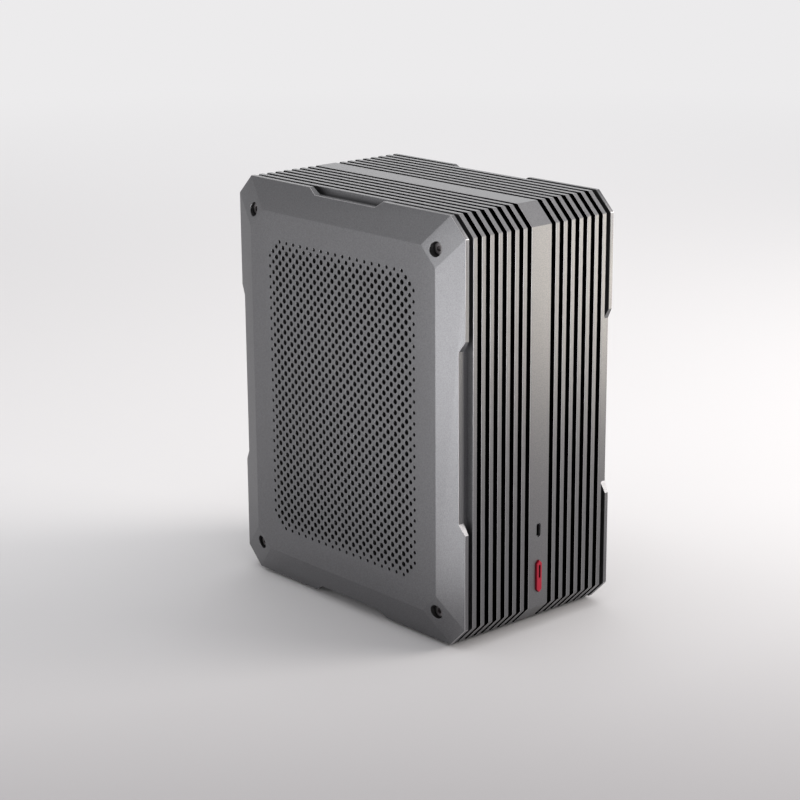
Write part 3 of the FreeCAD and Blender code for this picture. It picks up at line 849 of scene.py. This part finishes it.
    def grille_places(self) -> list[list[Vector]]:
        """Lay out the holes on a diagonal lattice with cut corners.

        Returns:
            For the outer ring, the next one and the field, the moves from the middle to each hole.
        """
        rings: list[list[Vector]] = [[], [], []]
        for i in range(-self.columns, self.columns + 1):
            for j in range(-self.rows, self.rows + 1):
                if (i + j) % 2 and abs(i) + abs(j) <= self.diagonal:
                    ring = min(self.columns - abs(i), self.rows - abs(j), 2)
                    rings[ring].append(Vector((0, i, j)) * self.half_step * MM)
        return rings

    def punch(self, radius: float) -> bpy.types.Object:
        """Make a punch in the middle of the field, flared where it leaves the face.

        Args:
            radius: Radius of the hole in millimetres.

        Returns:
            The punch.
        """
        flare_x = self.face_x - self.hole_flare
        punch = new_bar("punch", self.point(self.dish_x - self.over, 0, 0), self.point(flare_x, 0, 0),
                        radius * MM, self.hole_sides)
        # The flare runs on past the face, so that none of its edges lies in the face.
        rise = 2 * self.hole_flare
        wide = (radius + rise) / radius
        with shaping(punch, Pick.FACES, facing(self.outward)):
            extrude((self.side.value * rise * MM, 0, 0))
            bpy.ops.transform.resize(value=(1, wide, wide), center_override=self.point(self.face_x, 0, 0))
        return punch

    def build(self) -> bpy.types.Object:
        """Model the panel.

        Returns:
            The finished panel, in place of its node.
        """
        panel = self.tapered(self.name + "_fine", (self.inner_x, self.rim_x, self.face_x), self.outline,
                             self.outline.inset(self.bevel_width, self.face_corner))
        for finish in (PANEL, PANEL_INSIDE_SHADE, EDGE):
            panel.data.materials.append(finish.material())
        rim = (self.rim_x + self.near) * MM
        with shaping(panel, Pick.EDGES, lambda place, along: place.x * self.side.value > rim):
            chamfer(self.facet_round * MM, self.facet_steps)
        for cutter in self.notch_cutters():
            carve(panel, cutter)
        # The broken edges take the painted highlight.
        soften(panel, self.edge_break * MM, 1, self.edge_angle, PanelSlot.EDGE.value)
        self.drill_screw_holes(panel)
        # The dish starts before the back face, so that none of its edges lies in the face.
        levels = (self.inner_x - self.over, self.inner_x - self.dish_start, self.dish_x)
        carve(panel, self.tapered("dish", levels, self.outline.inset(self.land, self.mouth_corner),
                                  self.outline.inset(self.bevel_width, self.floor_corner)))
        for radius, places in zip(self.hole_radii, self.grille_places()):
            carve(panel, copies(self.punch(radius), places, "punches"))
        smooth(panel, self.smooth_angle)
        self.dress(panel)
        return panel

    def dress(self, panel: bpy.types.Object) -> None:
        """Give the inside and the walls of the holes the near-black painted shade, and put the panel in place
        of its node.

        Args:
            panel: The finished panel.
        """
        field_y = self.columns * self.half_step + max(self.hole_radii)
        field_z = self.rows * self.half_step + max(self.hole_radii)
        bore = self.counterbore_radius + self.bore_near
        for face in panel.data.polygons:
            y, z = face.center.y / MM, face.center.z / MM - self.middle_z
            lean = face.normal.x * self.side.value
            in_field = abs(y) < field_y and abs(z) < field_z
            in_bore = any(math.hypot(y - by, z - bz) < bore for by, bz in self.screw_places())
            in_hole = (in_field and lean < self.hole_lean) or (in_bore and lean < self.bore_lean)
            # Painted shade: the inside and the hole walls take the near-black finish.
            if in_hole or lean < self.back_lean:
                face.material_index = PanelSlot.INSIDE.value
        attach(panel, "case")
        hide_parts(self.name)


@dataclass
class PanelScrews:
    """The four socket-head screws of a side panel, with a rounded head. Sizes are millimetres."""

    panel: SidePanel
    head_radius: float = 4.0
    head_sides: int = 40
    head_height: float = 2.8
    head_round: float = 0.45
    round_steps: int = 3
    round_angle: float = 40.0
    smooth_angle: float = 35.0
    socket_radius: float = 2.05
    socket_sides: int = 6
    socket_depth: float = 2.2
    shank_radius: float = 2.5
    shank_reach: float = 13.0

    def build(self) -> bpy.types.Object:
        """Model one screw on the panel's middle and copy it to the four places.

        Returns:
            The four screws as one piece.
        """
        panel = self.panel
        seat = panel.inner_x + panel.counterbore_seat
        top = seat + self.head_height
        screw = new_bar("screw", panel.point(seat, 0, 0), panel.point(top, 0, 0), self.head_radius * MM,
                        self.head_sides)
        share = self.shank_radius / self.head_radius
        run = panel.counterbore_seat + self.shank_reach
        with shaping(screw, Pick.FACES, facing((-panel.side.value, 0, 0))):
            extrude((0, 0, 0))
            bpy.ops.transform.resize(value=(1, share, share), center_override=panel.point(seat, 0, 0))
            extrude((-panel.side.value * run * MM, 0, 0))
        soften(screw, self.head_round * MM, self.round_steps, self.round_angle)
        carve(screw, new_bar("socket", panel.point(top - self.socket_depth, 0, 0),
                             panel.point(top + panel.over, 0, 0), self.socket_radius * MM, self.socket_sides))
        smooth(screw, self.smooth_angle)
        places = [Vector((0, y, z)) * MM for y, z in panel.screw_places()]
        screws = copies(screw, places, f"{panel.side.name.lower()}_panel_screws_fine")
        SCREW.dress(screws)
        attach(screws, "case")
        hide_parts(f"{panel.side.name.lower()}_panel_screws")
        return screws


@dataclass
class SheetScrews:
    """Small screws with a washer flange, a hexagon head and a cross recess. Sizes are millimetres."""

    node: str
    flange_radius: float = 3.1
    flange_sides: int = 32
    flange_height: float = 0.5
    head_radius: float = 2.75
    head_sides: int = 6
    head_height: float = 1.8
    head_round: float = 0.25
    round_steps: int = 2
    round_angle: float = 80.0
    smooth_angle: float = 35.0
    recess_width: float = 0.75
    recess_length: float = 3.3
    recess_depth: float = 1.0
    shank_radius: float = 1.5
    shank_sides: int = 16
    overlap: float = 0.2
    level_digits: int = 2
    length_digits: int = 3

    def pattern(self, length: float) -> bpy.types.Object:
        """Model one screw on the origin, with its head toward the rear.

        Args:
            length: Length of the shank in millimetres.

        Returns:
            The screw.
        """
        def on_axis(y: float) -> Vector:
            """A place on the screw's axis."""
            return Vector((0, y * MM, 0))

        screw = new_bar("screw", on_axis(self.flange_height - self.overlap), on_axis(self.head_height),
                        self.head_radius * MM, self.head_sides)
        soften(screw, self.head_round * MM, self.round_steps, self.round_angle)
        weld(screw, new_bar("flange", on_axis(0), on_axis(self.flange_height), self.flange_radius * MM,
                            self.flange_sides))
        weld(screw, new_bar("shank", on_axis(-length), on_axis(self.overlap), self.shank_radius * MM,
                            self.shank_sides))
        half = Vector((self.recess_length, 0, self.recess_width)) * MM / 2
        for arm in (half, half.zyx):
            low = on_axis(self.head_height - self.recess_depth)
            high = on_axis(self.head_height + self.overlap)
            carve(screw, new_block("recess", low - arm, high + arm))
        smooth(screw, self.smooth_angle)
        return screw

    def placing(self, corners: list[Vector]) -> tuple[float, Matrix]:
        """Work out how long a screw is and where it sits.

        Args:
            corners: The corners of the plain screw in the construction.

        Returns:
            Length of the shank in millimetres, and the move and turn from the pattern.
        """
        low = Vector(map(min, *corners))
        high = Vector(map(max, *corners))
        middle = (low + high) / 2
        size = high - low
        # Along its axis a screw has corners at a few levels only: tip, seat and top.
        levels = [{round(corner[k] / MM, self.level_digits) for corner in corners} for k in range(3)]
        axis = min(range(3), key=lambda k: len(levels[k]))
        across = [k for k in range(3) if k != axis]
        # The head lies at the end whose corners reach out furthest.
        wide = max(corners, key=lambda corner: sum((corner[k] - middle[k]) ** 2 for k in across))
        outward = Vector((0, 0, 0))
        outward[axis] = math.copysign(1, wide[axis] - middle[axis])
        seat = middle + outward * (size[axis] / 2 - self.head_height * MM)
        turn = Vector((0, 1, 0)).rotation_difference(outward).to_matrix().to_4x4()
        length = round(size[axis] / MM - self.head_height, self.length_digits)
        return length, Matrix.Translation(seat) @ turn

    def build(self) -> bpy.types.Object:
        """Model a screw of each length and copy it to the place of each solid of the node.

        Returns:
            The screws as one piece.
        """
        patterns: dict[float, bpy.types.Object] = {}
        screws = []
        for corners in loose_corners(self.node):
            length, move = self.placing(corners)
            if length not in patterns:
                patterns[length] = self.pattern(length)
            screws.append(moved_copy(patterns[length], move))
        for pattern in patterns.values():
            bpy.data.meshes.remove(pattern.data)
        piece = joined(screws, self.node + "_fine")
        SHEET_SCREW.dress(piece)
        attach(piece, "case")
        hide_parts(self.node)
        return piece


@dataclass
class SoftEdged:
    """A plain piece in its own form, with its sharp edges broken so that they catch the light.

    Sizes are millimetres.
    """

    node: str
    finish: Finish
    slot: str
    edge_break: float = 0.3
    edge_steps: int = 2
    edge_angle: float = 40.0
    smooth_angle: float = 35.0

    def build(self) -> bpy.types.Object:
        """Copy the node and break its edges.

        Returns:
            The piece, in place of its node.
        """
        piece = node_copy(self.node, self.node + "_fine")
        soften(piece, self.edge_break * MM, self.edge_steps, self.edge_angle)
        smooth(piece, self.smooth_angle)
        self.finish.dress(piece)
        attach(piece, "case")
        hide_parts(self.node)
        return piece


@dataclass
class PowerButton:
    """Red button with straight walls, pointed ends, a bevelled face and a slot for its light bar.

    Sizes are millimetres.
    """

    width: float = 4.3
    length: float = 21.5
    end: float = 1.95
    bevel: float = 0.3
    crown: float = 0.3
    lip: float = 1.6
    flange: float = 1.5
    slot_width: float = 1.6
    slot_length: float = 8.8
    slot_rise: float = 3.4
    slot_depth: float = 2.4
    over: float = 1.0
    near: float = 0.01

    def build(self) -> bpy.types.Object:
        """Model the button in the place of its node.

        Returns:
            The button.
        """
        low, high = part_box("power_button")
        front, back = low.y, high.y
        middle = (low.z + high.z) / 2
        shoulder = back - self.flange * MM
        half = Vector((self.width / 2 * MM, 0, self.length / 2 * MM))
        button = new_block("power_button_fine", Vector((-half.x, front, middle - half.z)),
                           Vector((half.x, shoulder, middle + half.z)))
        with shaping(button, Pick.EDGES, running(1)):
            chamfer(self.end * MM)
        with shaping(button, Pick.FACES, facing((0, 1, 0))):
            extrude((0, 0, 0))
            bpy.ops.transform.resize(value=(1 + self.lip / half.x * MM, 1, 1 + self.lip / half.z * MM),
                                     center_override=(0, shoulder, middle))
            extrude((0, back - shoulder, 0))
        face = front + self.near * MM
        with shaping(button, Pick.FACES, lambda place, normal: place.y < face):
            bpy.ops.mesh.inset(thickness=self.bevel * MM)
        inset = (self.bevel - self.near) * MM
        cut = half.x + half.z - (self.end + self.bevel * math.sqrt(2) - self.near) * MM

        def below_crown(place: Vector, _: Vector) -> bool:
            """Whether a corner lies on the outer edge of the face, round the crown."""
            x, z = abs(place.x), abs(place.z - middle)
            on_crown = x < half.x - inset and z < half.z - inset and x + z < cut
            return place.y < face and not on_crown

        with shaping(button, Pick.VERTICES, below_crown):
            bpy.ops.transform.translate(value=(0, self.crown * MM, 0))
        slot = Vector((self.slot_width, 0, self.slot_length)) * MM / 2
        rise = middle + self.slot_rise * MM
        carve(button, new_block("light_slot", Vector((-slot.x, front - self.over * MM, rise - slot.z)),
                                Vector((slot.x, front + self.slot_depth * MM, rise + slot.z))))
        BUTTON.dress(button)
        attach(button, "button")
        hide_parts("power_button")
        return button


@dataclass
class Nodes:
    """The nodes that keep their own mesh, by the finish that they get."""

    shell: tuple[str, ...] = ("top_fin_plate", "bottom_fin_plate", "front_fin_plate",
                              "corner_block_front_bottom", "corner_block_front_top",
                              "corner_block_rear_bottom", "corner_block_rear_top")
    screws: tuple[str, ...] = ("psu_bracket_screws", "front_io_screws")
    sheets: tuple[str, ...] = ("motherboard_tray", "psu_bracket")
    brass: tuple[str, ...] = ("motherboard_standoffs", "power_inlet_pins")
    plastics: tuple[str, ...] = ("usb_port_tongue", "power_switch")
    boards: tuple[str, ...] = ("front_io_board",)
    ports: tuple[str, ...] = ("usb_port_shell",)
    lenses: tuple[str, ...] = ("button_light_bar",)
    feet: tuple[str, ...] = ("foot_front_left", "foot_front_right", "foot_rear_left", "foot_rear_right")

    def dress(self) -> None:
        """Give each group its finish."""
        pairs = ((SHELL, self.shell), (SHEET_SCREW, self.screws), (SHEET, self.sheets),
                 (BRASS, self.brass), (PLASTIC, self.plastics), (BOARD, self.boards), (PORT, self.ports),
                 (LENS, self.lenses), (RUBBER, self.feet))
        for finish, names in pairs:
            finish.dress(*(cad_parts[name] for name in names))
            LOG.info("%s on %s", finish.name, ", ".join(names))


# The studio


def bearing(azimuth: float, elevation: float) -> Vector:
    """A direction from the case.

    Args:
        azimuth: Compass angle from the front toward the right, in degrees.
        elevation: Angle above the floor, in degrees.

    Returns:
        The direction, of length 1.
    """
    turn, lift = math.radians(azimuth), math.radians(elevation)
    return Vector((math.sin(turn) * math.cos(lift), -math.cos(turn) * math.cos(lift), math.sin(lift)))


@dataclass(frozen=True)
class SoftBox:
    """A large soft lamp that faces the case. Angles are degrees, sizes metres and power watts."""

    name: str
    azimuth: float
    elevation: float
    distance: float
    width: float
    height: float
    power: float
    colour: str = "ffffff"
    tilt: float | None = None
    spread: float = 180.0

    def build(self, aim: Vector) -> None:
        """Hang the lamp round a point, by its compass angle and its angle above the floor.

        A lamp with a tilt stands low and faces that many degrees upward, past the floor before it.

        Args:
            aim: The point in metres.
        """
        back = bearing(self.azimuth, self.elevation)
        data = bpy.data.lights.new(self.name, "AREA")
        data.shape = "RECTANGLE"
        data.size = self.width
        data.size_y = self.height
        data.energy = self.power
        data.color = linear(self.colour)[:3]
        lamp = bpy.data.objects.new(self.name, data)
        lamp.location = aim + back * self.distance
        forward = -back
        if self.tilt is not None:
            forward = -bearing(self.azimuth, -self.tilt)
            data.spread = math.radians(self.spread)
        lamp.rotation_euler = forward.to_track_quat("-Z", "Y").to_euler()
        lamp.visible_camera = False
        bpy.context.scene.collection.objects.link(lamp)


@dataclass
class Studio:
    """Pale floor, soft lamps and the camera of the photograph. Sizes are metres and angles degrees."""

    floor_size: float = 40.0
    paper_roughness: float = 0.9
    paper_shine: float = 0.1
    shaded_near_colour: str = "a9a7a9"
    mid_colour: str = "e5e4e5"
    far_colour: str = "ecebec"
    near_y: float = -0.5
    mid_y: float = 0.2
    glow_start: float = 0.7
    glow_end: float = 2.6
    gradient_tilt: float = 4.0
    sky: str = "f2f1f2"
    sky_strength: float = 0.56
    azimuth: float = -41.44
    elevation: float = 15.86
    roll: float = -0.4
    distance: float = 1.41
    aim: Vector = Vector((-0.0114, 0.0097, 0.1302))
    lens_mm: float = 95.1
    sensor_mm: float = 36.0
    lamps: tuple[SoftBox, ...] = (
        SoftBox("front_right_box", 45, 32, 1.9, 0.9, 0.7, 12.5, "fffaf6"),
        SoftBox("front_right_low_box", 54, 16, 1.9, 0.7, 0.5, 12.0, "fffaf4"),
        SoftBox("right_box", 72, 50, 1.9, 0.6, 0.6, 1.3),
        SoftBox("left_box", -100, 8, 1.9, 0.9, 0.7, 7.0),
        SoftBox("rear_right_box", 138, 22, 2.4, 1.6, 1.0, 6.6),
        SoftBox("overhead_box", 0, 85, 2.2, 2.0, 2.0, 20.0),
        SoftBox("front_right_card", 57, 1, 0.9, 0.7, 0.32, 0.72, "fff7e6", 38, 80),
        SoftBox("front_right_low_card", 56, -4, 0.7, 0.5, 0.2, 0.53, "fff7e6", 38, 80),
        SoftBox("left_card", -80, -6, 0.42, 0.3, 0.2, 0.285, "ffffff", 35, 80),
        SoftBox("left_floor_card", -60, -33, 0.212, 0.12, 0.08, 0.06, "ffffff", 45, 80),
        SoftBox("camera_card", -47, -4, 0.8, 0.4, 0.2, 0.6, "ffffff", 38, 80),
    )

    def floor(self) -> None:
        """A wide plain floor, a little darker toward the camera through painted shade, that glows evenly far
        behind the case.
        """
        deselect_all()
        bpy.ops.mesh.primitive_plane_add(size=self.floor_size)
        floor = settled("studio_floor")
        made = bpy.data.materials.new("studio_paper")
        made.use_nodes = True
        tree = made.node_tree
        shader = tree.nodes["Principled BSDF"]
        place = add_node(tree, "ShaderNodeTexCoord")
        turned = add_node(tree, "ShaderNodeMapping", {"vector_type": "TEXTURE"},
                          Vector=place.outputs["Object"],
                          Rotation=(0, 0, math.radians(self.azimuth + self.gradient_tilt)))
        axes = add_node(tree, "ShaderNodeSeparateXYZ", Vector=turned.outputs["Vector"])
        # Painted shade: the floor darkens toward the camera from the mid colour to the near colour.
        share = add_node(tree, "ShaderNodeMapRange", {"interpolation_type": "SMOOTHSTEP"},
                         Value=axes.outputs["Y"], i1=self.near_y, i2=self.mid_y, i3=0.0, i4=1.0)
        mix = add_node(tree, "ShaderNodeMix", {"data_type": "RGBA"}, i0=share.outputs["Result"],
                       i6=linear(self.shaded_near_colour), i7=linear(self.mid_colour))
        tree.links.new(mix.outputs[2], shader.inputs["Base Color"])
        shader.inputs["Roughness"].default_value = self.paper_roughness
        shader.inputs["Specular IOR Level"].default_value = self.paper_shine
        away = add_node(tree, "ShaderNodeVectorMath", {"operation": "LENGTH"}, Vector=place.outputs["Object"])
        fade = add_node(tree, "ShaderNodeMapRange", {"interpolation_type": "SMOOTHSTEP"},
                        Value=away.outputs["Value"], i1=self.glow_start, i2=self.glow_end, i3=0.0, i4=1.0)
        glow = add_node(tree, "ShaderNodeEmission", Color=linear(self.far_colour), Strength=1.0)
        both = add_node(tree, "ShaderNodeMixShader", i0=fade.outputs["Result"],
                        i1=shader.outputs["BSDF"], i2=glow.outputs["Emission"])
        tree.links.new(both.outputs["Shader"], tree.nodes["Material Output"].inputs["Surface"])
        floor.data.materials.append(made)

    def world(self) -> None:
        """An even pale surround, which the camera sees in the far floor's colour, so no horizon shows."""
        world = bpy.data.worlds.new("studio_surround")
        world.use_nodes = True
        bpy.context.scene.world = world
        tree = world.node_tree
        background = tree.nodes["Background"]
        background.inputs["Color"].default_value = linear(self.sky)
        background.inputs["Strength"].default_value = self.sky_strength
        backdrop = add_node(tree, "ShaderNodeBackground", Color=linear(self.far_colour), Strength=1.0)
        path = add_node(tree, "ShaderNodeLightPath")
        both = add_node(tree, "ShaderNodeMixShader", i0=path.outputs["Is Camera Ray"],
                        i1=background.outputs["Background"], i2=backdrop.outputs["Background"])
        tree.links.new(both.outputs["Shader"], tree.nodes["World Output"].inputs["Surface"])

    def camera(self) -> None:
        """The photograph's viewpoint."""
        back = bearing(self.azimuth, self.elevation)
        data = bpy.data.cameras.new("photo_camera")
        data.lens = self.lens_mm
        data.sensor_width = self.sensor_mm
        camera = bpy.data.objects.new("photo_camera", data)
        camera.location = self.aim + back * self.distance
        level = (-back).to_track_quat("-Z", "Y").to_matrix()
        camera.rotation_euler = (level @ Matrix.Rotation(math.radians(self.roll), 3, "Z")).to_euler()
        bpy.context.scene.collection.objects.link(camera)
        bpy.context.scene.camera = camera

    def build(self) -> None:
        """Set up the floor, the surround, the lamps and the camera."""
        self.floor()
        self.world()
        for lamp in self.lamps:
            lamp.build(self.aim)
        self.camera()
        bpy.context.scene.view_settings.view_transform = "Standard"


def main() -> None:
    """Build the pieces in order, dress the nodes and set up the studio."""
    logging.basicConfig(level=logging.INFO, format="%(name)s: %(message)s")
    panels = [SidePanel(side) for side in Side]
    screw_nodes = ("rear_panel_screws", "slot_cover_screws", "power_inlet_screws", "tray_screws")
    assemblies = [
        *(part for panel in panels for part in (panel, PanelScrews(panel))),
        *(SheetScrews(node) for node in screw_nodes),
        SoftEdged("rear_panel", PANEL, "anodised_shell"),
        SoftEdged("slot_cover_inner", SHEET, "coated_sheet"),
        SoftEdged("slot_cover_outer", SHEET, "coated_sheet"),
        SoftEdged("power_inlet", PLASTIC, "black_plastic", edge_break=0.5),
        PowerButton(),
    ]
    for assembly in assemblies:
        piece = assembly.build()
        LOG.info("%s with %d faces", piece.name, len(piece.data.polygons))
    Nodes().dress()
    Studio().build()


if __name__ == "__main__":
    main()
